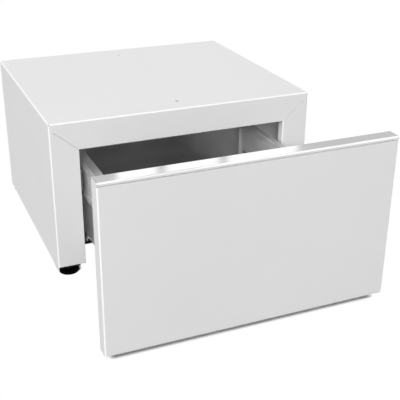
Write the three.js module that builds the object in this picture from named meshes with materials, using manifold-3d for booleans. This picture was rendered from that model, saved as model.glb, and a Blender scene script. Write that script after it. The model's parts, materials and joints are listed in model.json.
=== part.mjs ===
// A laundry plinth: a folded steel cabinet that carries a washing machine, with one wide drawer on
// telescopic runners. The drawer stands partly open.
//
// Millimetres. +X is to the right seen from the front, +Y to the back, +Z up from the floor.
// Every piece is made in the cabinet's frame, whose origin lies on the floor under the middle of the
// front face, with the drawer shut. Groups then pull the moving pieces out, and the outermost group
// moves the whole object so that its origin is the bottom centre of its outer box.

import * as THREE from 'three';
import { mergeVertices } from 'three/addons/utils/BufferGeometryUtils.js';
import Module from 'manifold-3d';

const solids = await Module();
solids.setup();

// ---------------------------------------------------------------- driving dimensions

const FIT = 0.3; // clearance between pieces that seat on each other

// Cabinet
const CABINET_WIDTH = 596;
const CABINET_DEPTH = 525;
const DECK_HEIGHT = 350; // floor to the top face
const CABINET_SHEET = 1.5;
const FOLD_RADIUS = 3; // outside radius of the long folds
const FLOOR_GAP = 10; // floor to the bottom edge of the sides
const HEM_WIDTH = 25; // inward flange along the bottom of each side
const HEM_START = 36; // behind the front face, clear of the front foot
const CORNER_CUT_DEPTH = 4; // the front folds end level with the stiles, and the sides start behind them
const REAR_FLANGE = 14;

// Front frame
const STILE_WIDTH = 61;
const RAIL_HEIGHT = 61.6;
const STILE_GROUND = 21.5; // floor to the bottom of the stiles
const RETURN_DEPTH = 20; // flange that turns into the opening
const RETURN_RADIUS = 2;
const STILE_FOOT_FLANGE = 12;
const SEAM_WIDTH = 0.5;
const SEAM_END_FROM_SIDE = 11;
const SEAM_END_FROM_DECK = 20;
const RELIEF_LENGTH = 2.4;
const RELIEF_WIDTH = 1.6;
const CORNER_RELIEF_DIAMETER = 3.2;

// Holes in the deck
const FIXING_HOLE_DIAMETER = 9;
const FIXING_HOLE_FROM_FRONT = 52;
const FIXING_HOLE_FROM_REAR = 54.5;
const CORNER_HOLE_DIAMETER = 4.5;
const CORNER_HOLE_FROM_SIDE = 28;
const CORNER_HOLE_FROM_FRONT = 33;
const CORNER_HOLE_FROM_REAR = 26;
const CORNER_HOLE_CLEARANCE = 1.5; // round the same hole in the stiffener's flange

// Pieces inside the cabinet
const REAR_PANEL_SHEET = 1.2;
const REAR_PANEL_EDGE_GAP = 0.8; // clears the rounded inside of the folds
const STIFFENER_WIDTH = 30;
const STIFFENER_DEPTH = 22;
const STIFFENER_FLANGE = 14;
const STIFFENER_END_GAP = 2.5;
const BASE_SHEET = 2.5;
const BASE_RAIL_WIDTH = 50;
const BASE_RAIL_HEIGHT = 32;
const BASE_RAIL_START = 14; // behind the front face
const CROSS_MEMBER_FLANGE = 24;
const FRONT_CROSS_MEMBER_Y = 118;
const REAR_CROSS_MEMBER_FROM_REAR = 40;
const POST_DEPTH = 30;
const POST_TONGUE_BELOW_RUNNER_TOP = 6;
const POST_BELOW_RUNNER = 10; // the post's section stops here, and one flange goes on up as a tongue
const FRONT_POST_FROM_RUNNER_END = 42;
const REAR_POST_FROM_RUNNER_END = 45;

// Feet
const FOOT_DIAMETER = 42;
const FOOT_HEIGHT = 7.4;
const FOOT_EDGE = 0.8;
const FOOT_FROM_SIDE = 26.4;
const FOOT_FROM_FRONT = 21.4;
const FOOT_FROM_REAR = 26.4;
const FOOT_BOLT_DIAMETER = 10;
const FOOT_BOLT_LENGTH = 34;
const FOOT_SOCKET_DEPTH = 4;
const FOOT_BOSS_DIAMETER = 18;
const FOOT_BOSS_HEIGHT = 8;
const BOLT_SLOT_WIDTH = 1.6;
const BOLT_SLOT_DEPTH = 2;

// Drawer position
const REST_OPENING = 310; // how far the drawer stands open
const CLOSED_GAP = 2; // front panel to front frame when shut

// Drawer box
const DRAWER_SHEET = 1.2;
const DRAWER_WIDTH = 430.4;
const DRAWER_REAR_STEP = 11.5; // the rear edge of the sides to the end of the runners
const DRAWER_SIDE_HEIGHT = 178;
const DRAWER_BOTTOM_Z = 58.5;
const SIDE_TOP_FLANGE = 19.2;
const SIDE_SKIRT_DEPTH = 53.5;
const SIDE_BOTTOM_FLANGE = 18;
const SKIRT_END_GAP = 9; // the skirt stops short of the back
const BACK_SETBACK = 2.5; // rear edge of the sides to the back wall
const BACK_TOP_FLANGE = 10;
const BRACKET_LEG = 8;
const BRACKET_SHEET = 1.5;
const SIDE_BEAD_DROP = 87; // side top to the pressed bead
const SIDE_BEAD_HEIGHT = 4;
const SIDE_BEAD_DEPTH = 0.6;
const SIDE_TAB_Y = 342; // a folded tab near the foot of each side, behind the closed front face
const SIDE_TAB_LENGTH = 10;
const SIDE_TAB_HEIGHT = 9;
const SIDE_TAB_REACH = 10.5;
const SIDE_TAB_ABOVE_BOTTOM = 1.5;

// Front panel
const PANEL_WIDTH = 596;
const PANEL_RISE = 11.4; // top of the front above the deck
const PANEL_GROUND = 16.2; // floor to the bottom of the front
const PANEL_DEPTH = 30.8;
const PANEL_SHEET = 1.2;
const PANEL_RADIUS = 3;
const LINER_SHEET = 1.2;

// Handle strip
const STRIP_HEIGHT = 6; // visible front lip
const STRIP_GROOVE = 1.9; // shadow gap under the lip
const STRIP_GROOVE_DEPTH = 3;
const STRIP_RADIUS = 3.2;
const STRIP_WALL = 1.6;
const STRIP_CAP = 1.5;
const STRIP_PLUG = 8;

// Bumpers on the back of the front panel
const BUMPER_DIAMETER = 10;
const BUMPER_STEM_DIAMETER = 5;
const BUMPER_STEM_LENGTH = 5;
const BUMPER_FROM_SIDE = 31;
const BUMPER_BELOW_DECK = 30;

// Runners: the drawer channel holds the middle channel, which holds the cabinet channel
const RUNNER_LENGTH = 450;
const RUNNER_SETBACK = 3; // behind the front face
const RUNNER_THICKNESS = 12.7;
const RUNNER_HEIGHT = 68.5;
const RUNNER_CENTRE_DROP = 29.75; // below the top of the drawer's sides
const RUNNER_SHEET = 1.5;
const DRAWER_CHANNEL_REACH = 11.8; // flange tips, from the drawer side
const MIDDLE_CHANNEL_OFFSET = 6.8;
const MIDDLE_CHANNEL_REACH = 11.4;
const CABINET_CHANNEL_REACH = 9.6;
const CABINET_CHANNEL_SETBACK = 27; // its front end behind the front end of the other channels when shut
const RACE_GROOVE = 0.4;
const RACE_MARGIN = 3;
const OUTER_BALL_RADIUS = 1.8; // between the drawer channel and the middle channel
const INNER_BALL_RADIUS = 1.5; // between the middle channel and the cabinet channel
const CAGE_SHEET = 0.6;
const CAGE_LENGTH = 190;
const CAGE_START = 146; // behind the front face when the drawer is shut
const BALLS_PER_ROW = 6;
const RUNNER_SCREW_FROM_REAR_END = 60; // in the drawer channel
const RUNNER_SCREW_FROM_FRONT_END = 60;

// Screws
const SCREW_HEAD_RADIUS = 4;
const SCREW_HEAD_HEIGHT = 1.4;
const SCREW_SHANK_RADIUS = 1.8;
const RUNNER_SCREW_LENGTH = 6;
const FRONT_SCREW_LENGTH = 12;
const REAR_SCREW_LENGTH = 7;
const FRONT_SCREW_FROM_BOTTOM = 26.5;
const FRONT_SCREW_FROM_TOP = 71.5;
const REAR_SCREW_FROM_BOTTOM = 62;
const REAR_SCREW_FROM_DECK = 60;
const REAR_SCREW_FROM_SIDE = 8;

// ---------------------------------------------------------------- derived sizes

const halfWidth = CABINET_WIDTH / 2;
const innerHalf = halfWidth - CABINET_SHEET;
const openingHalf = halfWidth - STILE_WIDTH;
const openingTop = DECK_HEIGHT - RAIL_HEIGHT;
const hemTop = FLOOR_GAP + CABINET_SHEET;
const deckUnderside = DECK_HEIGHT - CABINET_SHEET;
const rearPanelBack = CABINET_DEPTH - CABINET_SHEET - FIT;
const rearPanelFront = rearPanelBack - REAR_PANEL_SHEET;
const baseBottom = hemTop + FIT;
const baseRailInner = innerHalf - FIT - BASE_RAIL_WIDTH;
const footX = halfWidth - FOOT_FROM_SIDE;
const footPlaces = {
  front: FOOT_FROM_FRONT,
  rear: CABINET_DEPTH - FOOT_FROM_REAR,
};
const drawerHalf = DRAWER_WIDTH / 2;
const drawerTop = DRAWER_BOTTOM_Z + DRAWER_SIDE_HEIGHT;
const skirtInner = drawerHalf - SIDE_TOP_FLANGE;
const panelBack = -CLOSED_GAP;
const panelFront = panelBack - PANEL_DEPTH;
const panHalf = PANEL_WIDTH / 2;
const panelTopZ = DECK_HEIGHT + PANEL_RISE;
const panTop = panelTopZ - STRIP_HEIGHT - STRIP_GROOVE;
const runnerRearY = RUNNER_SETBACK + RUNNER_LENGTH;
const frontPostY = RUNNER_SETBACK + FRONT_POST_FROM_RUNNER_END;
const rearPostY = runnerRearY - REAR_POST_FROM_RUNNER_END;
const drawerFrontY = panelBack + FIT;
const drawerRearY = runnerRearY - DRAWER_REAR_STEP;
const backWallY = drawerRearY - BACK_SETBACK;
const runnerInner = drawerHalf + FIT;
const runnerOuter = runnerInner + RUNNER_THICKNESS;
const postFace = runnerOuter + FIT;
const runnerCentreZ = drawerTop - RUNNER_CENTRE_DROP;
const runnerHalf = RUNNER_HEIGHT / 2;
const middleHalf = runnerHalf - RUNNER_SHEET - 2 * (OUTER_BALL_RADIUS + FIT);
const cabinetChannelHalf = middleHalf - RUNNER_SHEET - 2 * (INNER_BALL_RADIUS + FIT);
const postScrewOffset = POST_DEPTH * 0.6;
const screwHole = SCREW_SHANK_RADIUS + FIT;
const frontScrewX = (skirtInner + drawerHalf) / 2;
const frontScrewZs = {
  lower: DRAWER_BOTTOM_Z + FRONT_SCREW_FROM_BOTTOM,
  upper: drawerTop - FRONT_SCREW_FROM_TOP,
};
const rearScrewZs = {
  lower: FLOOR_GAP + REAR_SCREW_FROM_BOTTOM,
  upper: DECK_HEIGHT - REAR_SCREW_FROM_DECK,
};
const runnerScrewYs = {
  front: RUNNER_SETBACK + RUNNER_SCREW_FROM_FRONT_END,
  rear: runnerRearY - RUNNER_SCREW_FROM_REAR_END,
};
const postScrewYs = {
  front: frontPostY + postScrewOffset,
  rear: rearPostY + postScrewOffset,
};

// ---------------------------------------------------------------- geometry helpers

const AXES = {
  // the shape's own x and y, and the direction of its extrusion
  x: new THREE.Matrix4().makeBasis(
    new THREE.Vector3(0, 1, 0), new THREE.Vector3(0, 0, 1), new THREE.Vector3(1, 0, 0)),
  y: new THREE.Matrix4().makeBasis(
    new THREE.Vector3(1, 0, 0), new THREE.Vector3(0, 0, 1), new THREE.Vector3(0, -1, 0)),
  z: new THREE.Matrix4(),
};
const ROUND_STEPS = 4;
const SLIVER = 0.01;

function toSolid(geometry) {
  geometry.deleteAttribute('normal');
  geometry.deleteAttribute('uv');
  const merged = mergeVertices(geometry);
  const mesh = new solids.Mesh({
    numProp: 3,
    vertProperties: new Float32Array(merged.attributes.position.array),
    triVerts: new Uint32Array(merged.index.array),
  });
  return new solids.Manifold(mesh);
}

// Joins leave slivers where flat faces meet, so the result is simplified to a hundredth of a millimetre.
function toGeometry(solid) {
  const mesh = solid.asOriginal().simplify(SLIVER).getMesh();
  const geometry = new THREE.BufferGeometry();
  geometry.setAttribute('position', new THREE.BufferAttribute(mesh.vertProperties, 3));
  geometry.setIndex(new THREE.BufferAttribute(mesh.triVerts, 1));
  geometry.computeVertexNormals();
  return geometry;
}

function block(x, y, z) {
  const geometry = new THREE.BoxGeometry(x[1] - x[0], y[1] - y[0], z[1] - z[0]);
  geometry.translate((x[0] + x[1]) / 2, (y[0] + y[1]) / 2, (z[0] + z[1]) / 2);
  return toSolid(geometry);
}

// A range from a to b on the given side of the middle plane, lowest first.
function span(side, a, b) {
  return [side * a, side * b].sort((p, q) => p - q);
}

// A shape drawn in the two axes across the extrusion: (y, z) for x, (x, z) for y, (x, y) for z.
function prism(axis, shape, from, to) {
  const geometry = new THREE.ExtrudeGeometry(shape, {
    depth: to - from,
    bevelEnabled: false,
    curveSegments: ROUND_STEPS,
  });
  geometry.translate(0, 0, axis === 'y' ? -to : from);
  geometry.applyMatrix4(AXES[axis]);
  return toSolid(geometry);
}

function outline(points) {
  return new THREE.Shape(points.map(([a, b]) => new THREE.Vector2(a, b)));
}

function rod(axis, radius, from, to, [a, b], sides = 16) {
  const circle = outline(Array.from({ length: sides }, (_, i) => {
    const angle = (2 * Math.PI * i) / sides;
    return [a + radius * Math.cos(angle), b + radius * Math.sin(angle)];
  }));
  return prism(axis, circle, from, to);
}

// A turned piece about a vertical axis, from [radius, height] points that start and end on the axis.
function turned(profile, [x, y], sides) {
  const points = profile.map(([radius, height]) => new THREE.Vector2(radius, height));
  const geometry = new THREE.LatheGeometry(points, sides);
  geometry.applyMatrix4(AXES.y);
  geometry.translate(x, y, 0);
  return toSolid(geometry);
}

// A rectangle with its own radius at each corner: low-low, high-low, high-high, low-high.
function roundedRectangle([a0, a1], [b0, b1], [r0, r1, r2, r3]) {
  const shape = new THREE.Shape();
  const corner = (a, b, radius, start) => {
    if (radius > 0) {
      shape.absarc(a, b, radius, start, start + Math.PI / 2, false);
    } else if (shape.curves.length === 0 && start === Math.PI) {
      shape.moveTo(a, b);
    } else {
      shape.lineTo(a, b);
    }
  };
  corner(a0 + r0, b0 + r0, r0, Math.PI);
  corner(a1 - r1, b0 + r1, r1, 1.5 * Math.PI);
  corner(a1 - r2, b1 - r2, r2, 0);
  corner(a0 + r3, b1 - r3, r3, 0.5 * Math.PI);
  return shape;
}

// A closed solid through flat, convex rings with the same count of points, which run clockwise as seen
// from the first ring towards the last turned round.
function loft(rings) {
  const count = rings[0].length;
  const index = [];
  for (let ring = 0; ring + 1 < rings.length; ring += 1) {
    for (let i = 0; i < count; i += 1) {
      const a = ring * count + i;
      const b = ring * count + ((i + 1) % count);
      index.push(a, b, b + count, a, b + count, a + count);
    }
  }
  const last = (rings.length - 1) * count;
  for (let i = 1; i + 1 < count; i += 1) {
    index.push(0, i + 1, i);
    index.push(last, last + i, last + i + 1);
  }
  const geometry = new THREE.BufferGeometry();
  geometry.setAttribute('position', new THREE.Float32BufferAttribute(rings.flat(2), 3));
  geometry.setIndex(index);
  return toSolid(geometry);
}

// What is cut off a square outside edge to round it: the corner beyond an arc about the given centre.
function outerFold(axis, [a, b], range, [signA, signB]) {
  const reach = FOLD_RADIUS + 1;
  const arc = Array.from({ length: ROUND_STEPS + 1 }, (_, i) => {
    const angle = (Math.PI / 2) * (i / ROUND_STEPS);
    return [a - signA * FOLD_RADIUS * Math.cos(angle), b - signB * FOLD_RADIUS * Math.sin(angle)];
  });
  return prism(axis, outline([
    ...arc, [a, b - signB * reach], [a - signA * reach, b - signB * reach], [a - signA * reach, b],
  ]), ...range);
}

function join(...pieces) {
  return pieces.reduce((whole, piece) => whole.add(piece));
}

function cut(whole, ...cutters) {
  return cutters.reduce((rest, cutter) => rest.subtract(cutter), whole);
}

// ---------------------------------------------------------------- finishes

const FINISHES = {
  white: { color: 0xdcdcdc, roughness: 0.35, metalness: 0.0 },
  zinc: { color: 0x9a9c9b, roughness: 0.4, metalness: 0.9 },
  steel: { color: 0x8f9190, roughness: 0.3, metalness: 0.95 },
  bright: { color: 0xdedfe0, roughness: 0.18, metalness: 0.95 },
  blackCoat: { color: 0x141414, roughness: 0.5, metalness: 0.0 },
  black: { color: 0x0a0a0a, roughness: 0.6, metalness: 0.0 },
  rubber: { color: 0xc9c9c7, roughness: 0.8, metalness: 0.0 },
};

function addPiece(group, name, solid, finish) {
  const mesh = new THREE.Mesh(toGeometry(solid), new THREE.MeshStandardMaterial(FINISHES[finish]));
  mesh.name = name;
  group.add(mesh);
}

const SIDES = [['left', -1], ['right', 1]];

// ---------------------------------------------------------------- cabinet

// The outer or inner skin of the cabinet: three rounded sections that cut each other.
function cabinetSkin(inset, bottom, rear) {
  const radius = FOLD_RADIUS - inset;
  const x = [-halfWidth + inset, halfWidth - inset];
  const y = [inset, rear];
  const z = [bottom, DECK_HEIGHT - inset];
  const foot = inset > 0 ? 0 : FOLD_RADIUS;
  const across = prism('y', roundedRectangle(x, z, [foot, foot, radius, radius]), ...y);
  const plan = prism('z', roundedRectangle(x, y, [radius, radius, 0, 0]), ...z);
  const profile = prism('x', roundedRectangle(y, z, [0, 0, 0, radius]), ...x);
  return across.intersect(plan).intersect(profile);
}

// The drawer opening, flared at the front face so that its edges are folded round.
function openingCutter() {
  const below = -DECK_HEIGHT;
  const ring = (y, grow) => {
    const x = openingHalf + grow;
    const z = openingTop + grow;
    return [[-x, y, z], [x, y, z], [x, y, below], [-x, y, below]];
  };
  const rings = [ring(-1, RETURN_RADIUS)];
  for (let step = 0; step <= ROUND_STEPS; step += 1) {
    const angle = (Math.PI / 2) * (step / ROUND_STEPS);
    rings.push(ring(RETURN_RADIUS * (1 - Math.cos(angle)), RETURN_RADIUS * (1 - Math.sin(angle))));
  }
  rings.push(ring(RETURN_DEPTH + 1, 0));
  return loft(rings);
}

// The mitre seam of one top corner of the frame, with the wider relief at its outer end.
function seamCutter(side) {
  const start = new THREE.Vector2(side * openingHalf, openingTop);
  const end = new THREE.Vector2(side * (halfWidth - SEAM_END_FROM_SIDE), DECK_HEIGHT - SEAM_END_FROM_DECK);
  const along = end.clone().sub(start).normalize();
  const across = new THREE.Vector2(-along.y, along.x);
  const strip = (from, to, width) => outline([[0, -1], [1, -1], [1, 1], [0, 1]].map(([reach, edge]) => {
    const point = from.clone().lerp(to, reach).addScaledVector(across, (edge * width) / 2);
    return [point.x, point.y];
  }));
  const inside = start.clone().addScaledVector(along, -RETURN_RADIUS);
  const reliefStart = end.clone().addScaledVector(along, -RELIEF_LENGTH);
  return join(
    prism('y', strip(inside, end, SEAM_WIDTH), -1, RETURN_DEPTH + 1),
    prism('y', strip(reliefStart, end, RELIEF_WIDTH), -1, RETURN_RADIUS + CABINET_SHEET));
}

function cabinetShell() {
  const hollow = cabinetSkin(CABINET_SHEET, hemTop, CABINET_DEPTH + 1);
  const betweenHems = join(
    block([-innerHalf, innerHalf], [CABINET_SHEET, HEM_START], [0, hemTop]),
    block([-halfWidth + HEM_WIDTH, halfWidth - HEM_WIDTH], [HEM_START, CABINET_DEPTH + 1], [0, hemTop]));
  let shell = cut(cabinetSkin(0, FLOOR_GAP, CABINET_DEPTH), hollow, betweenHems);

  const returnHalf = openingHalf + CABINET_SHEET;
  shell = join(
    shell,
    block([-returnHalf, returnHalf], [CABINET_SHEET / 2, RETURN_DEPTH], [STILE_GROUND, openingTop + CABINET_SHEET]),
    block([-halfWidth + REAR_FLANGE, halfWidth - REAR_FLANGE], [CABINET_DEPTH - CABINET_SHEET, CABINET_DEPTH],
      [DECK_HEIGHT - REAR_FLANGE, DECK_HEIGHT - CABINET_SHEET / 2]));
  for (const [, side] of SIDES) {
    shell = join(
      shell,
      block(span(side, openingHalf, innerHalf), [CABINET_SHEET / 2, STILE_FOOT_FLANGE],
        [STILE_GROUND, STILE_GROUND + CABINET_SHEET]),
      block(span(side, halfWidth - REAR_FLANGE, halfWidth - CABINET_SHEET / 2),
        [CABINET_DEPTH - CABINET_SHEET, CABINET_DEPTH], [FLOOR_GAP, DECK_HEIGHT - CABINET_SHEET / 2]));
  }

  shell = shell.subtract(openingCutter());
  for (const [, side] of SIDES) {
    const underStile = join(
      block(span(side, 0, halfWidth - FOLD_RADIUS), [-1, CABINET_SHEET], [0, STILE_GROUND]),
      block(span(side, 0, halfWidth + 1), [-1, CORNER_CUT_DEPTH], [0, STILE_GROUND]),
      outerFold('x', [FOLD_RADIUS, STILE_GROUND + FOLD_RADIUS], [-halfWidth, halfWidth], [1, 1]));
    const cornerHoles = cornerHolePlaces(side).map((place) =>
      rod('z', CORNER_HOLE_DIAMETER / 2, deckUnderside - 1, DECK_HEIGHT + 1, place, 12));
    const footHoles = Object.values(footPlaces).map((y) =>
      rod('z', FOOT_BOLT_DIAMETER, 0, hemTop + 1, [side * footX, y]));
    const screwHoles = Object.values(rearScrewZs).map((z) =>
      rod('y', screwHole, CABINET_DEPTH - CABINET_SHEET - 1, CABINET_DEPTH + 1,
        [side * (halfWidth - REAR_SCREW_FROM_SIDE), z], 12));
    shell = cut(shell, underStile, seamCutter(side), cornerRelief(side), ...cornerHoles, ...footHoles, ...screwHoles);
  }
  const fixingHoles = [FIXING_HOLE_FROM_FRONT, CABINET_DEPTH - FIXING_HOLE_FROM_REAR].map((y) =>
    rod('z', FIXING_HOLE_DIAMETER / 2, deckUnderside - 1, DECK_HEIGHT + 1, [0, y]));
  return cut(shell, ...fixingHoles);
}

function cornerHolePlaces(side) {
  return [CORNER_HOLE_FROM_FRONT, CABINET_DEPTH - CORNER_HOLE_FROM_REAR].map((y) =>
    [side * (halfWidth - CORNER_HOLE_FROM_SIDE), y]);
}

// The small round relief where the three folds of a front corner meet.
function cornerRelief(side) {
  const reach = 2 * FOLD_RADIUS;
  const geometry = new THREE.CylinderGeometry(
    CORNER_RELIEF_DIAMETER / 2, CORNER_RELIEF_DIAMETER / 2, 2 * reach, 10);
  const direction = new THREE.Vector3(-side, 1, -1).normalize();
  geometry.applyQuaternion(new THREE.Quaternion().setFromUnitVectors(new THREE.Vector3(0, 1, 0), direction));
  geometry.translate(side * halfWidth, 0, DECK_HEIGHT);
  return toSolid(geometry);
}

function rearPanel() {
  const half = innerHalf - REAR_PANEL_EDGE_GAP;
  const z = [baseBottom, deckUnderside - REAR_PANEL_EDGE_GAP];
  const panel = block([-half, half], [rearPanelFront, rearPanelBack], z);
  const holes = SIDES.flatMap(([, side]) => Object.values(rearScrewZs).map((z) =>
    rod('y', screwHole, rearPanelFront - 1, rearPanelBack + 1, [side * (halfWidth - REAR_SCREW_FROM_SIDE), z], 12)));
  return cut(panel, ...holes);
}

// A hat section under the deck, open upwards.
function deckStiffener(y) {
  const sheet = CABINET_SHEET;
  const top = deckUnderside - FIT;
  const web = STIFFENER_WIDTH / 2;
  const flange = web + STIFFENER_FLANGE;
  const half = innerHalf - STIFFENER_END_GAP;
  const section = outline([
    [-flange, 0], [-flange, -sheet], [-web, -sheet], [-web, -STIFFENER_DEPTH], [web, -STIFFENER_DEPTH],
    [web, -sheet], [flange, -sheet], [flange, 0], [web - sheet, 0], [web - sheet, sheet - STIFFENER_DEPTH],
    [sheet - web, sheet - STIFFENER_DEPTH], [sheet - web, 0],
  ].map(([across, up]) => [y + across, top + up]));
  const holes = SIDES.flatMap(([, side]) => cornerHolePlaces(side)).map((place) =>
    rod('z', CORNER_HOLE_DIAMETER / 2 + CORNER_HOLE_CLEARANCE, top - sheet - 1, top + 1, place, 12));
  return cut(prism('x', section, -half, half), ...holes);
}

// An angle along the bottom of one side, with the threaded bosses of its two feet.
function baseRail(side) {
  const [x0, x1] = [baseRailInner, innerHalf - FIT];
  const floorTop = baseBottom + BASE_SHEET;
  const y = [BASE_RAIL_START, rearPanelFront - FIT];
  const wallY = [RETURN_DEPTH + FIT, y[1]];
  let rail = join(
    block(span(side, x0, x1), y, [baseBottom, floorTop]),
    block(span(side, x0, x0 + BASE_SHEET), wallY, [baseBottom, baseBottom + BASE_RAIL_HEIGHT]));
  for (const place of Object.values(footPlaces)) {
    const centre = [side * footX, place];
    rail = rail.add(rod('z', FOOT_BOSS_DIAMETER / 2, baseBottom, floorTop + FOOT_BOSS_HEIGHT, centre));
    rail = rail.subtract(rod('z', FOOT_BOLT_DIAMETER / 2 + FIT, 0, floorTop + FOOT_BOSS_HEIGHT + 1, centre));
  }
  return rail;
}

// A channel between the base rails. Its back faces the given direction.
function crossMember(y, facing) {
  const z = [baseBottom, baseBottom + BASE_RAIL_HEIGHT];
  const half = baseRailInner - FIT;
  const [front, back] = span(-facing, 0, CROSS_MEMBER_FLANGE).map((offset) => y + offset);
  const [hollowFront, hollowBack] = span(-facing, BASE_SHEET, CROSS_MEMBER_FLANGE + 1).map((offset) => y + offset);
  return cut(
    block([-half, half], [front, back], z),
    block([-half - 1, half + 1], [hollowFront, hollowBack], [z[0] + BASE_SHEET, z[1] - BASE_SHEET]));
}

// A standing channel beside the runner. The flange that carries the runner goes on up as a tongue.
function runnerPost(side, y) {
  const sheet = CABINET_SHEET;
  const z = [baseBottom + BASE_RAIL_HEIGHT + FIT, runnerCentreZ - runnerHalf - POST_BELOW_RUNNER];
  const outer = innerHalf - FIT;
  const post = join(
    cut(
      block(span(side, postFace, outer), [y, y + POST_DEPTH], z),
      block(span(side, postFace + sheet, outer - sheet), [y + sheet, y + POST_DEPTH + 1], [z[0] - 1, z[1] + 1])),
    block(span(side, postFace, postFace + sheet), [y, y + POST_DEPTH],
      [z[0], runnerCentreZ + runnerHalf - POST_TONGUE_BELOW_RUNNER_TOP]));
  const hole = rod('x', screwHole, ...span(side, postFace - 1, postFace + sheet + 1),
    [y + postScrewOffset, runnerCentreZ], 12);
  return post.subtract(hole);
}

// ---------------------------------------------------------------- feet

function footPad(side, y) {
  const radius = FOOT_DIAMETER / 2;
  const bore = FOOT_BOLT_DIAMETER / 2 + FIT;
  return turned([
    [0, 0], [radius - FOOT_EDGE, 0], [radius, FOOT_EDGE], [radius, FOOT_HEIGHT - FOOT_EDGE],
    [radius - FOOT_EDGE, FOOT_HEIGHT], [bore, FOOT_HEIGHT], [bore, FOOT_HEIGHT - FOOT_SOCKET_DEPTH],
    [0, FOOT_HEIGHT - FOOT_SOCKET_DEPTH],
  ], [side * footX, y], 32);
}

function footBolt(side, y) {
  const bottom = FOOT_HEIGHT - FOOT_SOCKET_DEPTH + FIT;
  const top = bottom + FOOT_BOLT_LENGTH;
  const radius = FOOT_BOLT_DIAMETER / 2;
  const x = side * footX;
  const slot = block([x - radius - 1, x + radius + 1], [y - BOLT_SLOT_WIDTH / 2, y + BOLT_SLOT_WIDTH / 2],
    [top - BOLT_SLOT_DEPTH, top + 1]);
  return rod('z', radius, bottom, top, [x, y]).subtract(slot);
}

// ---------------------------------------------------------------- runners

// A channel section in the runner's own axes: distance from the drawer side, and height from the middle.
function channelSection(side, web, tip, half, groove = 0) {
  const sheet = Math.sign(tip - web) * RUNNER_SHEET;
  const margin = Math.sign(tip - web) * RACE_MARGIN;
  const upper = [[web + sheet, half - RUNNER_SHEET], [tip, half - RUNNER_SHEET], [tip, half]];
  if (groove > 0) {
    upper.push([tip - margin, half], [tip - 1.5 * margin, half - groove],
      [web + 1.5 * margin, half - groove], [web + margin, half]);
  }
  upper.push([web, half]);
  const lower = upper.map(([across, up]) => [across, -up]).reverse();
  return outline([...lower, ...upper].map(([across, up]) => [side * (runnerInner + across), runnerCentreZ + up]));
}

function runnerChannel(side, web, tip, half, { groove, setback = 0 } = {}) {
  return prism('y', channelSection(side, web, tip, half, groove), RUNNER_SETBACK + setback, runnerRearY);
}

function sideHoles(side, from, to, places) {
  return Object.values(places).map((y) =>
    rod('x', screwHole, ...span(side, from, to), [y, runnerCentreZ], 12));
}

function drawerChannel(side) {
  const channel = runnerChannel(side, 0, DRAWER_CHANNEL_REACH, runnerHalf, { groove: RACE_GROOVE });
  return cut(channel, ...sideHoles(side, runnerInner - 1, runnerInner + RUNNER_SHEET + 1, runnerScrewYs));
}

function middleChannel(side) {
  return runnerChannel(side, MIDDLE_CHANNEL_OFFSET, MIDDLE_CHANNEL_REACH, middleHalf);
}

function cabinetChannel(side) {
  const channel = runnerChannel(side, RUNNER_THICKNESS, CABINET_CHANNEL_REACH, cabinetChannelHalf,
    { setback: CABINET_CHANNEL_SETBACK });
  return cut(channel, ...sideHoles(side, runnerOuter - RUNNER_SHEET - 1, runnerOuter + 1, postScrewYs));
}

// A strip folded round the inner channel, with a row of balls pressed into each of its flanges.
function ballCage(side, web, ballAcross, ballUp, ballRadius) {
  const half = ballUp + CAGE_SHEET / 2;
  const tip = ballAcross + ballRadius / 2;
  const place = ([across, up]) => [side * (runnerInner + across), runnerCentreZ + up];
  const section = outline([
    [web, -half], [tip, -half], [tip, CAGE_SHEET - half], [web + CAGE_SHEET, CAGE_SHEET - half],
    [web + CAGE_SHEET, half - CAGE_SHEET], [tip, half - CAGE_SHEET], [tip, half], [web, half],
  ].map(place));
  let cage = prism('y', section, CAGE_START, CAGE_START + CAGE_LENGTH);
  const pitch = CAGE_LENGTH / BALLS_PER_ROW;
  for (const up of [-ballUp, ballUp]) {
    for (let i = 0; i < BALLS_PER_ROW; i += 1) {
      const ball = new THREE.SphereGeometry(ballRadius, 6, 4);
      const [x, z] = place([ballAcross, up]);
      ball.translate(x, CAGE_START + pitch * (i + 0.5), z);
      cage = cage.add(toSolid(ball));
    }
  }
  return cage;
}

function drawerCage(side) {
  const web = (RUNNER_SHEET + MIDDLE_CHANNEL_OFFSET) / 2;
  const across = (MIDDLE_CHANNEL_OFFSET + MIDDLE_CHANNEL_REACH) / 2;
  return ballCage(side, web, across, middleHalf + FIT + OUTER_BALL_RADIUS, OUTER_BALL_RADIUS);
}

function cabinetCage(side) {
  const web = MIDDLE_CHANNEL_OFFSET + RUNNER_SHEET + FIT;
  const across = web + INNER_BALL_RADIUS;
  return ballCage(side, web, across, cabinetChannelHalf + FIT + INNER_BALL_RADIUS, INNER_BALL_RADIUS);
}

// ---------------------------------------------------------------- screws

// A pan head screw whose head rests on the plane z = 0 and whose shank points down.
function screw(length) {
  return [
    [0, -length], [SCREW_SHANK_RADIUS, -length], [SCREW_SHANK_RADIUS, 0], [SCREW_HEAD_RADIUS, 0],
    [SCREW_HEAD_RADIUS, SCREW_HEAD_HEIGHT * 0.4], [SCREW_HEAD_RADIUS * 0.6, SCREW_HEAD_HEIGHT],
    [0, SCREW_HEAD_HEIGHT],
  ];
}

// The same screw with its head pointing along the given direction, its seat at the given point.
function placedScrew(length, head, seat) {
  const points = screw(length).map(([radius, height]) => new THREE.Vector2(radius, height));
  const geometry = new THREE.LatheGeometry(points, 12);
  geometry.applyQuaternion(new THREE.Quaternion().setFromUnitVectors(new THREE.Vector3(0, 1, 0), head));
  geometry.translate(seat.x, seat.y, seat.z);
  return toSolid(geometry);
}

// ---------------------------------------------------------------- drawer

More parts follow.
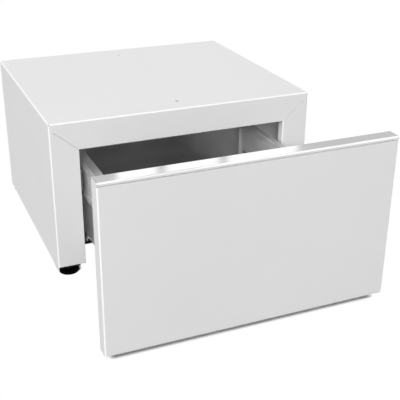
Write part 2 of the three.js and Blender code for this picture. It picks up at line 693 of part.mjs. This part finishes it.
function drawerSide(side) {
  const sheet = DRAWER_SHEET;
  const y = [drawerFrontY, drawerRearY];
  const flangeY = [y[0], backWallY - FIT];
  const skirtY = [y[0], backWallY - SKIRT_END_GAP];
  const beadZ = drawerTop - SIDE_BEAD_DROP;
  const wall = join(
    block(span(side, drawerHalf - sheet, drawerHalf), y, [DRAWER_BOTTOM_Z, drawerTop]),
    block(span(side, skirtInner, drawerHalf), flangeY, [drawerTop - sheet, drawerTop]),
    block(span(side, skirtInner, skirtInner + sheet), skirtY, [drawerTop - SIDE_SKIRT_DEPTH, drawerTop]),
    block(span(side, drawerHalf - SIDE_BOTTOM_FLANGE, drawerHalf), flangeY, [DRAWER_BOTTOM_Z, DRAWER_BOTTOM_Z + sheet]),
    block(span(side, skirtInner, drawerHalf), [y[0], y[0] + sheet], [DRAWER_BOTTOM_Z, drawerTop]));
  const tab = sideTab(side, y[0] + SIDE_TAB_Y);
  const bead = block(span(side, drawerHalf - SIDE_BEAD_DEPTH, drawerHalf + 1), [y[0] - 1, y[1] + 1],
    [beadZ, beadZ + SIDE_BEAD_HEIGHT]);
  const frontHoles = Object.values(frontScrewZs).map((z) =>
    rod('y', screwHole, y[0] - 1, y[0] + sheet + 1, [side * frontScrewX, z], 12));
  return cut(wall.add(tab), bead, ...frontHoles,
    ...sideHoles(side, drawerHalf - sheet - 1, drawerHalf + 1, runnerScrewYs));
}

// A tab folded down over itself, seen as a small roof from the front.
function sideTab(side, y) {
  const sheet = DRAWER_SHEET;
  const bottom = DRAWER_BOTTOM_Z + SIDE_TAB_ABOVE_BOTTOM;
  const middle = SIDE_TAB_REACH / 2;
  const section = outline([
    [-sheet / 2, 0], [sheet, 0], [middle, SIDE_TAB_HEIGHT - 2 * sheet], [SIDE_TAB_REACH - sheet, 0],
    [SIDE_TAB_REACH, 0], [middle + sheet / 2, SIDE_TAB_HEIGHT], [middle - sheet / 2, SIDE_TAB_HEIGHT],
    [-sheet / 2, sheet],
  ].map(([out, up]) => [side * (drawerHalf + out), bottom + up]));
  return prism('y', section, y, y + SIDE_TAB_LENGTH);
}

function drawerBack() {
  const sheet = DRAWER_SHEET;
  const half = drawerHalf - sheet - FIT;
  return join(
    block([-half, half], [backWallY, backWallY + sheet], [DRAWER_BOTTOM_Z, drawerTop]),
    block([-half, half], [backWallY, backWallY + BACK_TOP_FLANGE], [drawerTop - sheet, drawerTop]),
    block([-half, half], [backWallY, backWallY + BACK_TOP_FLANGE], [DRAWER_BOTTOM_Z, DRAWER_BOTTOM_Z + sheet]));
}

function drawerBottom() {
  const half = drawerHalf - DRAWER_SHEET - FIT;
  const bottom = DRAWER_BOTTOM_Z + DRAWER_SHEET + FIT;
  const front = drawerFrontY + DRAWER_SHEET + FIT;
  return block([-half, half], [front, backWallY - FIT], [bottom, bottom + DRAWER_SHEET]);
}

// A standing angle in one rear corner: a leg on the back wall and a leg in line with the side's skirt.
function cornerBracket(side) {
  const sheet = BRACKET_SHEET;
  const rear = backWallY - FIT;
  const z = [DRAWER_BOTTOM_Z + 2 * (DRAWER_SHEET + FIT), drawerTop - DRAWER_SHEET - FIT];
  return join(
    block(span(side, skirtInner - BRACKET_LEG + sheet, skirtInner + sheet), [rear - sheet, rear], z),
    block(span(side, skirtInner, skirtInner + sheet), [backWallY - SKIRT_END_GAP + FIT, rear], z));
}

// ---------------------------------------------------------------- front panel

function panelSkin(inset, rear, top) {
  const radius = PANEL_RADIUS - inset;
  const x = [-panHalf + inset, panHalf - inset];
  const y = [panelFront + inset, rear];
  const z = [PANEL_GROUND + inset, top];
  const plan = prism('z', roundedRectangle(x, y, [radius, radius, 0, 0]), ...z);
  const profile = prism('x', roundedRectangle(y, z, [radius, 0, 0, 0]), ...x);
  return plan.intersect(profile);
}

function frontPanel() {
  return cut(panelSkin(0, panelBack, panTop), panelSkin(PANEL_SHEET, panelBack + 1, panTop - PANEL_SHEET));
}

function panelLiner() {
  const gap = PANEL_SHEET + FIT;
  const y = [panelBack - LINER_SHEET, panelBack];
  const plate = block([-panHalf + gap, panHalf - gap], y, [PANEL_GROUND + gap, panTop - gap]);
  const screwHoles = SIDES.flatMap(([, side]) => Object.values(frontScrewZs).map((z) =>
    rod('y', screwHole, y[0] - 1, y[1] + 1, [side * frontScrewX, z], 12)));
  const bumperHoles = SIDES.map(([, side]) =>
    rod('y', BUMPER_STEM_DIAMETER / 2 + FIT, y[0] - 1, y[1] + 1, bumperPlace(side)));
  return cut(plate, ...screwHoles, ...bumperHoles);
}

function bumperPlace(side) {
  return [side * (panHalf - BUMPER_FROM_SIDE), DECK_HEIGHT - BUMPER_BELOW_DECK];
}

function bumper(side) {
  const thickness = CLOSED_GAP - 2 * FIT;
  return join(
    rod('y', BUMPER_DIAMETER / 2, panelBack + FIT, panelBack + FIT + thickness, bumperPlace(side)),
    rod('y', BUMPER_STEM_DIAMETER / 2, panelBack - BUMPER_STEM_LENGTH, panelBack + FIT + thickness / 2,
      bumperPlace(side)));
}

// Section of the handle strip in (y, z), grown inwards by the wall for its hollow.
function stripOutline() {
  const lipBottom = panelTopZ - STRIP_HEIGHT;
  const base = panTop + FIT;
  const shape = new THREE.Shape();
  shape.moveTo(panelFront, lipBottom);
  shape.lineTo(panelFront + STRIP_GROOVE_DEPTH, lipBottom);
  shape.lineTo(panelFront + STRIP_GROOVE_DEPTH, base);
  shape.lineTo(panelBack, base);
  shape.lineTo(panelBack, panelTopZ);
  shape.lineTo(panelFront + STRIP_RADIUS, panelTopZ);
  shape.absarc(panelFront + STRIP_RADIUS, panelTopZ - STRIP_RADIUS, STRIP_RADIUS, Math.PI / 2, Math.PI, false);
  return shape;
}

function stripHollow(inset) {
  const y = [panelFront + STRIP_GROOVE_DEPTH + STRIP_WALL + inset, panelBack - STRIP_WALL - inset];
  const z = [panTop + FIT + STRIP_WALL + inset, panelTopZ - STRIP_WALL - inset];
  return outline([[y[0], z[0]], [y[1], z[0]], [y[1], z[1]], [y[0], z[1]]]);
}

function handleStrip() {
  const half = panHalf - STRIP_CAP - FIT;
  return cut(prism('x', stripOutline(), -half, half), prism('x', stripHollow(0), -half - 1, half + 1));
}

function stripCap(side) {
  return join(
    prism('x', stripOutline(), ...span(side, panHalf - STRIP_CAP, panHalf)),
    prism('x', stripHollow(FIT), ...span(side, panHalf - STRIP_CAP - STRIP_PLUG, panHalf - STRIP_CAP / 2)));
}

// ---------------------------------------------------------------- assembly

const RIGHT = new THREE.Vector3(1, 0, 0);
const BACK = new THREE.Vector3(0, 1, 0);

const cabinet = new THREE.Group();
addPiece(cabinet, 'cabinet_shell', cabinetShell(), 'white');
addPiece(cabinet, 'rear_panel', rearPanel(), 'white');
addPiece(cabinet, 'front_deck_stiffener', deckStiffener(FIXING_HOLE_FROM_FRONT), 'zinc');
addPiece(cabinet, 'rear_deck_stiffener', deckStiffener(CABINET_DEPTH - FIXING_HOLE_FROM_REAR), 'zinc');
addPiece(cabinet, 'front_cross_member', crossMember(FRONT_CROSS_MEMBER_Y, -1), 'blackCoat');
addPiece(cabinet, 'rear_cross_member', crossMember(CABINET_DEPTH - REAR_CROSS_MEMBER_FROM_REAR, 1), 'blackCoat');

const drawer = new THREE.Group();
addPiece(drawer, 'front_panel', frontPanel(), 'white');
addPiece(drawer, 'panel_liner', panelLiner(), 'steel');
addPiece(drawer, 'handle_strip', handleStrip(), 'bright');
addPiece(drawer, 'drawer_back', drawerBack(), 'steel');
addPiece(drawer, 'drawer_bottom', drawerBottom(), 'steel');

const middleChannels = new THREE.Group();
const cabinetCages = new THREE.Group();
const drawerCages = new THREE.Group();
const feet = new THREE.Group();

for (const [name, side] of SIDES) {
  addPiece(cabinet, `${name}_base_rail`, baseRail(side), 'blackCoat');
  addPiece(cabinet, `${name}_front_runner_post`, runnerPost(side, frontPostY), 'zinc');
  addPiece(cabinet, `${name}_rear_runner_post`, runnerPost(side, rearPostY), 'zinc');
  addPiece(cabinet, `${name}_cabinet_channel`, cabinetChannel(side), 'zinc');
  addPiece(cabinetCages, `${name}_cabinet_ball_cage`, cabinetCage(side), 'steel');
  addPiece(middleChannels, `${name}_middle_channel`, middleChannel(side), 'zinc');
  addPiece(drawerCages, `${name}_drawer_ball_cage`, drawerCage(side), 'steel');
  addPiece(drawer, `${name}_drawer_channel`, drawerChannel(side), 'zinc');
  addPiece(drawer, `${name}_drawer_side`, drawerSide(side), 'steel');
  addPiece(drawer, `${name}_corner_bracket`, cornerBracket(side), 'steel');
  addPiece(drawer, `${name}_strip_cap`, stripCap(side), 'bright');
  addPiece(drawer, `${name}_bumper`, bumper(side), 'rubber');

  const inward = RIGHT.clone().multiplyScalar(-side);
  const outward = RIGHT.clone().multiplyScalar(side);
  for (const [end, y] of Object.entries(footPlaces)) {
    addPiece(feet, `${name}_${end}_foot_pad`, footPad(side, y), 'black');
    addPiece(feet, `${name}_${end}_foot_bolt`, footBolt(side, y), 'zinc');
  }
  for (const [end, y] of Object.entries(postScrewYs)) {
    const seat = new THREE.Vector3(side * (runnerOuter - RUNNER_SHEET - FIT), y, runnerCentreZ);
    addPiece(cabinet, `${name}_${end}_post_screw`, placedScrew(RUNNER_SCREW_LENGTH, inward, seat), 'zinc');
  }
  for (const [end, y] of Object.entries(runnerScrewYs)) {
    const seat = new THREE.Vector3(side * (runnerInner + RUNNER_SHEET + FIT), y, runnerCentreZ);
    addPiece(drawer, `${name}_${end}_channel_screw`, placedScrew(RUNNER_SCREW_LENGTH, outward, seat), 'zinc');
  }
  for (const [height, z] of Object.entries(frontScrewZs)) {
    const seat = new THREE.Vector3(side * frontScrewX, drawerFrontY + DRAWER_SHEET + FIT, z);
    addPiece(drawer, `${name}_${height}_front_screw`, placedScrew(FRONT_SCREW_LENGTH, BACK, seat), 'zinc');
  }
  for (const [height, z] of Object.entries(rearScrewZs)) {
    const seat = new THREE.Vector3(side * (halfWidth - REAR_SCREW_FROM_SIDE), CABINET_DEPTH + FIT, z);
    addPiece(cabinet, `${name}_${height}_rear_screw`, placedScrew(REAR_SCREW_LENGTH, BACK, seat), 'zinc');
  }
}

// The drawer stands open. The middle channels go half as far, and each cage the mean of its channels.
drawer.position.y = -REST_OPENING;
middleChannels.position.y = -REST_OPENING / 2;
cabinetCages.position.y = -REST_OPENING / 4;
drawerCages.position.y = (-3 * REST_OPENING) / 4;

const plinth = new THREE.Group();
plinth.add(cabinet, feet, middleChannels, cabinetCages, drawerCages, drawer);
const frontmost = panelFront - REST_OPENING;
const rearmost = CABINET_DEPTH + FIT + SCREW_HEAD_HEIGHT;
plinth.position.y = -(frontmost + rearmost) / 2;

export default plinth;
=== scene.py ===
import json
from math import pi, radians

import bpy
from mathutils import Color, Euler, Matrix, Vector

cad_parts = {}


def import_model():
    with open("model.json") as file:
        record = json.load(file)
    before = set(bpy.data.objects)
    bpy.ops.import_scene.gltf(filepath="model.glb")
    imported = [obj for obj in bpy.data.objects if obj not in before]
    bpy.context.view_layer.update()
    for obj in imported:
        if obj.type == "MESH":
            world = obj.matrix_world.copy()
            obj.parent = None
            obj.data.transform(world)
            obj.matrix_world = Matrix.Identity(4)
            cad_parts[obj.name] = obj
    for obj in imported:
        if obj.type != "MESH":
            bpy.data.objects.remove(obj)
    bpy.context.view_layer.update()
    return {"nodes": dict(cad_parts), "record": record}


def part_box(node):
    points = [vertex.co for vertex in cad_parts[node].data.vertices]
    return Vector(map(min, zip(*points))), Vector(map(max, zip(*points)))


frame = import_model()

MM = 0.001
NOISE_SPAN = (0.3, 0.7)  # the values that noise mostly covers

# ---------------------------------------------------------------- camera, as in the photograph

CAMERA_PLACE = (-0.61185, -1.59941, 0.88659)
CAMERA_AZIMUTH = -23.18
CAMERA_ELEVATION = 24.85
CAMERA_ROLL = 0.41
CAMERA_LENS = 71.9
SENSOR_WIDTH = 36.0

# ---------------------------------------------------------------- colours, as sRGB in 8 bits

WHITE_PAINT = (233, 233, 233)
SHEET_STEEL = (212, 212, 212)
BACK_STEEL = (204, 204, 204)
# the drawer bottom's steel, darker than the other steel: painted shade for the inside of the drawer
BOTTOM_STEEL_PAINTED_SHADE = (120, 120, 120)
ZINC = (204, 204, 204)
BRIGHT_TRIM = (248, 248, 249)
BLACK_PLASTIC = (3, 3, 3)
PALE_RUBBER = (200, 200, 197)
# a guessed black coat for the coated pieces under the cabinet, made dark to stand in for the shade there:
# partly painted shade
BLACK_COAT_AND_SHADE = (20, 20, 20)
FLOOR_WHITE = (110, 110, 110)

# A painted highlight on the roundings of the folds: the paint's colour is paler there, standing in for the
# glint that a real fold has, which these flat facets miss.
FOLD_PAINTED_HIGHLIGHT = 1.17
FOLD_SQUARE = 0.997  # largest part of the normal along an axis, on a face that still counts as flat
FOLD_ROUND = 0.975  # and on one that wholly counts as a fold

# ---------------------------------------------------------------- studio

WORLD_STRENGTH = 0.52
LAMP_TARGET = (0.0, -0.1, 0.2)
TABLE_GLOW = 0.45
FLOOR_HALF = 9.0
FLOOR_GLOW = 0.96  # share of plain white in what the camera sees of the floor; the rest is the floor as lit
CONTACT_REACH = 0.03  # how near a piece has to be to darken the floor
CONTACT_OPEN = (0.5, 0.585)  # unblocked share at the darkest point of the contact shadow, and at its end
CONTACT_FROM = (-0.3, -0.55, 0.78)  # middle of the half sphere that is searched: up, and to the front left
CONTACT_SAMPLES = 48
CONTACT_WHITE = 1.04  # glow where nothing is near, just over white

# The studio's wall as metal and gloss see it: white boards, with grey gaps between them. A gap is its
# start and end in degrees clockwise from +Y, and the group of gaps repeats round the room.
GAPS = ((14.4, 16.7), (19.85, 20.5), (24.65, 25.3), (30.6, 38.2))
GAP_GROUPS = 4
GAP_EDGE = 0.2
GAP_MARGIN = 1.0  # white either side of a group
BOARD_WHITE = 1.08
GAP_GREY = 0.58
FLOOR_IN_GLOSS = 0.74


def srgb(rgb):
    colour = Color([channel / 255 for channel in rgb]).from_srgb_to_scene_linear()
    return (*colour, 1.0)


# ---------------------------------------------------------------- material helpers

class Maker:
    """A new material with its Principled shader, and short calls that add and link nodes."""

    def __init__(self, name, colour, roughness, metallic=0.0):
        self.material = bpy.data.materials.new(name)
        self.material.use_nodes = True
        self.tree = self.material.node_tree
        self.shader = self.tree.nodes["Principled BSDF"]
        self.colour = srgb(colour)
        self.set(self.shader, "Base Color", self.colour)
        self.set(self.shader, "Roughness", roughness)
        self.set(self.shader, "Metallic", metallic)

    def set(self, node, socket, value):
        node.inputs[socket].default_value = value

    def link(self, output, node, socket):
        self.tree.links.new(output, node.inputs[socket])

    def node(self, kind, **values):
        node = self.tree.nodes.new(kind)
        for socket, value in values.items():
            self.set(node, socket.replace("_", " "), value)
        return node

    def place(self, stretch=(1.0, 1.0, 1.0)):
        """The point on the object in metres, each axis times its stretch."""
        coordinates = self.node("ShaderNodeTexCoord")
        mapping = self.node("ShaderNodeMapping", Scale=stretch)
        self.link(coordinates.outputs["Object"], mapping, "Vector")
        return mapping.outputs["Vector"]

    def noise(self, scale, detail=2.0, stretch=(1.0, 1.0, 1.0), rough=0.5):
        texture = self.node("ShaderNodeTexNoise", Scale=scale, Detail=detail, Roughness=rough)
        self.link(self.place(stretch), texture, "Vector")
        return texture.outputs["Fac"]

    def map_range(self, value, from_min, from_max, to_min, to_max):
        span = self.node("ShaderNodeMapRange", From_Min=from_min, From_Max=from_max,
                         To_Min=to_min, To_Max=to_max)
        self.link(value, span, "Value")
        return span.outputs["Result"]

    def spread(self, value, low, high):
        """What noise mostly covers, spread over low to high."""
        return self.map_range(value, *NOISE_SPAN, low, high)

    def shade(self, share):
        return (*[channel * share for channel in self.colour[:3]], 1.0)

    def tint(self, value, darker, lighter, painted_highlight=None):
        """The base colour between two shades of itself, and a painted highlight, paler still, where value
        reaches 1.
        """
        ramp = self.node("ShaderNodeValToRGB")
        if painted_highlight:
            ramp.color_ramp.elements.new(1.0).color = self.shade(painted_highlight)
        for element, at, share in zip(ramp.color_ramp.elements, NOISE_SPAN, (darker, lighter)):
            element.position = at
            element.color = self.shade(share)
        self.link(value, ramp, "Fac")
        self.link(ramp.outputs["Color"], self.shader, "Base Color")

    def combine(self, operation, first, second):
        result = self.node("ShaderNodeMath")
        result.operation = operation
        self.link(first, result, 0)
        self.link(second, result, 1)
        return result.outputs[0]

    def folds(self):
        """Nought on a face square to an axis, and one on the rounding between two such faces: the mask of the
        painted fold highlight.
        """
        coordinates = self.node("ShaderNodeTexCoord")
        size = self.node("ShaderNodeVectorMath")
        size.operation = "ABSOLUTE"
        split = self.node("ShaderNodeSeparateXYZ")
        self.link(coordinates.outputs["Normal"], size, 0)
        self.link(size.outputs["Vector"], split, "Vector")
        x, y, z = split.outputs
        squareness = self.combine("MAXIMUM", self.combine("MAXIMUM", x, y), z)
        return self.map_range(squareness, FOLD_SQUARE, FOLD_ROUND, 0.0, 1.0)

    def roughness(self, value, low, high):
        self.link(self.spread(value, low, high), self.shader, "Roughness")

    def bump(self, *layers):
        """Stacks (height, strength, distance) layers on the surface."""
        normal = None
        for height, strength, distance in layers:
            bump = self.node("ShaderNodeBump", Strength=strength, Distance=distance)
            self.link(height, bump, "Height")
            if normal is not None:
                self.link(normal, bump, "Normal")
            normal = bump.outputs["Normal"]
        self.link(normal, self.shader, "Normal")


# ---------------------------------------------------------------- materials

def white_paint():
    """Satin powder coat: a fine orange peel over very slightly uneven sheet, with a painted highlight on the
    folds.
    """
    maker = Maker("white_paint", WHITE_PAINT, roughness=0.46)
    # uneven tone from noise, with the painted fold highlight added over it
    maker.tint(maker.combine("ADD", maker.noise(2.2, 3.0), maker.folds()), 0.985, 1.015, FOLD_PAINTED_HIGHLIGHT)
    maker.roughness(maker.noise(30.0, 3.0), 0.43, 0.5)
    peel = maker.noise(700.0, 2.0)
    sag = maker.noise(9.0, 1.0)
    maker.bump((sag, 0.05, 2 * MM), (peel, 0.05, 0.2 * MM))
    return maker.material


def rolled_steel(name, colour, low, high, along, grain=0.12, metallic=0.65):
    """Bare or plated sheet, with its rolling grain along one axis and a faint spangle."""
    maker = Maker(name, colour, roughness=(low + high) / 2, metallic=metallic)
    stretch = tuple(0.03 if axis == along else 1.0 for axis in range(3))
    maker.tint(maker.noise(14.0, 4.0), 0.9, 1.08)
    maker.roughness(maker.noise(60.0, 3.0, stretch), low, high)
    lines = maker.noise(1500.0, 2.0, stretch)
    waves = maker.noise(11.0, 1.0)
    maker.bump((waves, 0.12, 3 * MM), (lines, grain, 0.05 * MM))
    return maker.material


def bright_trim():
    """Bright-drawn aluminium with a fine lengthwise grain."""
    maker = Maker("bright_trim", BRIGHT_TRIM, roughness=0.1, metallic=1.0)
    stretch = (0.02, 1.0, 1.0)
    maker.tint(maker.noise(5.0, 2.0), 0.98, 1.02)
    maker.roughness(maker.noise(90.0, 2.0, stretch), 0.05, 0.09)
    maker.bump((maker.noise(2200.0, 2.0, stretch), 0.04, 0.02 * MM))
    return maker.material


def moulded(name, colour, roughness, grain, shine=0.5):
    """Moulded plastic or rubber with a fine spark-eroded grain."""
    maker = Maker(name, colour, roughness=roughness)
    maker.set(maker.shader, "Specular IOR Level", shine)
    maker.tint(maker.noise(60.0, 3.0), 0.88, 1.12)
    maker.roughness(maker.noise(200.0, 2.0), roughness - 0.06, roughness + 0.06)
    maker.bump((maker.noise(1800.0, 2.0), grain, 0.1 * MM))
    return maker.material


def dress_nodes():
    steel_back = rolled_steel("rolled_steel_back", BACK_STEEL, 0.16, 0.24, along=0, metallic=0.95, grain=0.05)
    # the drawer bottom's darker steel is painted shade
    bottom_painted_shade_steel = rolled_steel("rolled_steel_bottom_painted_shade", BOTTOM_STEEL_PAINTED_SHADE, 0.3, 0.4, along=0, metallic=0.7)
    steel_side = rolled_steel("rolled_steel_lengthwise", SHEET_STEEL, 0.4, 0.5, along=1, metallic=0.4)
    zinc_length = rolled_steel("zinc_lengthwise", ZINC, 0.3, 0.4, along=1, metallic=0.3)
    zinc_across = rolled_steel("zinc_across", ZINC, 0.34, 0.46, along=0, metallic=0.5)
    hardware = rolled_steel("zinc_hardware", ZINC, 0.22, 0.34, along=2)
    by_slot = {
        "white_paint": white_paint(),
        "zinc_plate": zinc_across,
        "black_coat": moulded("black_coat", BLACK_COAT_AND_SHADE, 0.5, 0.1),
        "bare_steel": steel_side,
        "bright_strip": bright_trim(),
        "bumper_rubber": moulded("bumper_rubber", PALE_RUBBER, 0.7, 0.2),
        "foot_plastic": moulded("foot_plastic", BLACK_PLASTIC, 0.7, 0.25, shine=0.04),
        "hardware": hardware,
    }
    by_name = {
        "drawer_back": steel_back,
        "drawer_bottom": bottom_painted_shade_steel,
        "channel": zinc_length,
        # the foot bolts take the black coat too, dark as painted shade above the feet
        "foot_bolt": by_slot["black_coat"],
    }
    slots = {part["node"]: part["material_slot"] for part in frame["record"]["subparts"]}
    for name, piece in frame["nodes"].items():
        material = by_slot[slots[name]]
        for ending, other in by_name.items():
            if name.endswith(ending):
                material = other
        piece.data.materials.clear()
        piece.data.materials.append(material)


# ---------------------------------------------------------------- studio and camera

def boards(nodes, links):
    """How bright the studio's wall is at each heading, as gloss sees it."""
    coordinates = nodes.new("ShaderNodeTexCoord")
    split = nodes.new("ShaderNodeSeparateXYZ")
    heading = nodes.new("ShaderNodeMath")
    heading.operation = "ARCTAN2"
    links.new(coordinates.outputs["Generated"], split.inputs["Vector"])
    links.new(split.outputs["X"], heading.inputs[0])
    links.new(split.outputs["Y"], heading.inputs[1])
    first, last = GAPS[0][0] - GAP_MARGIN, GAPS[-1][1] + GAP_MARGIN
    middle, half_turn = (first + last) / 2, 180 / GAP_GROUPS
    within = nodes.new("ShaderNodeMath")
    within.operation = "WRAP"
    within.inputs[1].default_value = radians(middle + half_turn)
    within.inputs[2].default_value = radians(middle - half_turn)
    links.new(heading.outputs[0], within.inputs[0])
    span = nodes.new("ShaderNodeMapRange")
    span.inputs["From Min"].default_value = radians(first)
    span.inputs["From Max"].default_value = radians(last)
    links.new(within.outputs[0], span.inputs["Value"])
    ramp = nodes.new("ShaderNodeValToRGB")
    stops = []
    for start, end in GAPS:
        stops += [(start - GAP_EDGE, BOARD_WHITE), (start + GAP_EDGE, GAP_GREY),
                  (end - GAP_EDGE, GAP_GREY), (end + GAP_EDGE, BOARD_WHITE)]
    elements = ramp.color_ramp.elements
    while len(elements) < len(stops):
        elements.new(0.5)
    for element, (at, level) in zip(elements, stops):
        element.position = (at - first) / (last - first)
        element.color = (level, level, level, 1.0)
    links.new(span.outputs["Result"], ramp.inputs["Fac"])
    return ramp.outputs["Color"]


def world():
    """A plain white studio: softly bright for light, plain white for the camera, and boards for gloss."""
    scene_world = bpy.data.worlds.new("studio")
    bpy.context.scene.world = scene_world
    scene_world.use_nodes = True
    nodes, links = scene_world.node_tree.nodes, scene_world.node_tree.links
    light = nodes["Background"]
    light.inputs["Strength"].default_value = WORLD_STRENGTH
    backdrop = nodes.new("ShaderNodeBackground")
    walls = nodes.new("ShaderNodeBackground")
    links.new(boards(nodes, links), walls.inputs["Color"])
    path = nodes.new("ShaderNodeLightPath")
    shader = light
    for ray, other in (("Is Glossy Ray", walls), ("Is Camera Ray", backdrop)):
        mix = nodes.new("ShaderNodeMixShader")
        links.new(path.outputs[ray], mix.inputs["Fac"])
        links.new(shader.outputs[0], mix.inputs[1])
        links.new(other.outputs[0], mix.inputs[2])
        shader = mix
    links.new(shader.outputs["Shader"], nodes["World Output"].inputs["Surface"])
    for plain in (light, backdrop):
        plain.inputs["Color"].default_value = (1.0, 1.0, 1.0, 1.0)


def contact(maker):
    """The floor's contact shadow: how white it glows, and darker where a piece lies close over it."""
    towards = maker.node("ShaderNodeCombineXYZ", X=CONTACT_FROM[0], Y=CONTACT_FROM[1], Z=CONTACT_FROM[2])
    near = maker.node("ShaderNodeAmbientOcclusion", Distance=CONTACT_REACH)
    near.samples = CONTACT_SAMPLES
    maker.link(towards.outputs["Vector"], near, "Normal")
    return maker.map_range(near.outputs["AO"], *CONTACT_OPEN, 0.0, CONTACT_WHITE)


def floor():
    """A floor that the camera sees as plain white with a contact shadow, and hardly as the lamps light it."""
    corners = [(x * FLOOR_HALF, y * FLOOR_HALF, 0.0) for x, y in ((-1, -1), (1, -1), (1, 1), (-1, 1))]
    mesh = bpy.data.meshes.new("floor")
    mesh.from_pydata(corners, [], [(0, 1, 2, 3)])
    plane = bpy.data.objects.new("floor", mesh)
    bpy.context.collection.objects.link(plane)
    maker = Maker("floor", FLOOR_WHITE, roughness=0.9)
    maker.set(maker.shader, "Specular IOR Level", 0.1)
    glow = maker.node("ShaderNodeEmission", Color=(1.0, 1.0, 1.0, 1.0))
    maker.link(contact(maker), glow, "Strength")
    in_gloss = maker.node("ShaderNodeEmission", Color=(1.0, 1.0, 1.0, 1.0), Strength=FLOOR_IN_GLOSS)
    path = maker.node("ShaderNodeLightPath")
    share = maker.node("ShaderNodeMath")
    share.operation = "MULTIPLY"
    share.inputs[1].default_value = FLOOR_GLOW
    maker.link(path.outputs["Is Camera Ray"], share, 0)
    shader = maker.shader.outputs["BSDF"]
    for part, other in ((path.outputs["Is Glossy Ray"], in_gloss), (share.outputs[0], glow)):
        mix = maker.node("ShaderNodeMixShader")
        maker.link(part, mix, "Fac")
        maker.link(shader, mix, 1)
        maker.link(other.outputs["Emission"], mix, 2)
        shader = mix.outputs["Shader"]
    maker.link(shader, maker.tree.nodes["Material Output"], "Surface")
    mesh.materials.append(maker.material)


def light_table():
    """A faint lamp on the floor inside the cabinet's outline. It stands for light off a white floor that
    enters by the open base."""
    low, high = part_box("cabinet_shell")
    data = bpy.data.lights.new("light_table", "AREA")
    data.shape = "RECTANGLE"
    data.size, data.size_y = high[0] - low[0], high[1] - low[1]
    data.energy = TABLE_GLOW * pi * data.size * data.size_y
    lamp = bpy.data.objects.new("light_table", data)
    turn = Matrix.Rotation(pi, 4, "X")
    lamp.matrix_world = Matrix.Translation((0.0, (low[1] + high[1]) / 2, 1 * MM)) @ turn
    lamp.visible_camera = False
    lamp.visible_glossy = False
    bpy.context.collection.objects.link(lamp)


def softbox(name, azimuth, elevation, distance, width, height, watts):
    """An area light that faces the middle of the cabinet's front. Gloss shows the boards in its place."""
    target = Vector(LAMP_TARGET)
    turn = Euler((radians(90 - elevation), 0.0, radians(azimuth))).to_matrix()
    data = bpy.data.lights.new(name, "AREA")
    data.shape = "RECTANGLE"
    data.size, data.size_y = width, height
    data.energy = watts
    lamp = bpy.data.objects.new(name, data)
    lamp.matrix_world = Matrix.Translation(target + turn @ Vector((0, 0, distance))) @ turn.to_4x4()
    lamp.visible_glossy = False
    bpy.context.collection.objects.link(lamp)


def lights():
    softbox("key_front", azimuth=-24, elevation=25, distance=14.0, width=2.4, height=3.0, watts=920)
    softbox("key_side", azimuth=-70, elevation=24, distance=14.0, width=7.0, height=5.0, watts=750)
    softbox("fill_rear", azimuth=110, elevation=16, distance=14.0, width=4.0, height=5.0, watts=680)
    light_table()


def camera():
    data = bpy.data.cameras.new("camera")
    data.lens = CAMERA_LENS
    data.sensor_width = SENSOR_WIDTH
    data.clip_start = 0.05
    turn = Euler((radians(90 - CAMERA_ELEVATION), 0.0, radians(CAMERA_AZIMUTH))).to_matrix()
    turn = turn @ Matrix.Rotation(radians(CAMERA_ROLL), 3, "Z")
    view = bpy.data.objects.new("camera", data)
    view.matrix_world = Matrix.Translation(CAMERA_PLACE) @ turn.to_4x4()
    bpy.context.collection.objects.link(view)
    bpy.context.scene.camera = view
    bpy.context.scene.view_settings.view_transform = "Standard"


camera()
dress_nodes()
world()
floor()
lights()
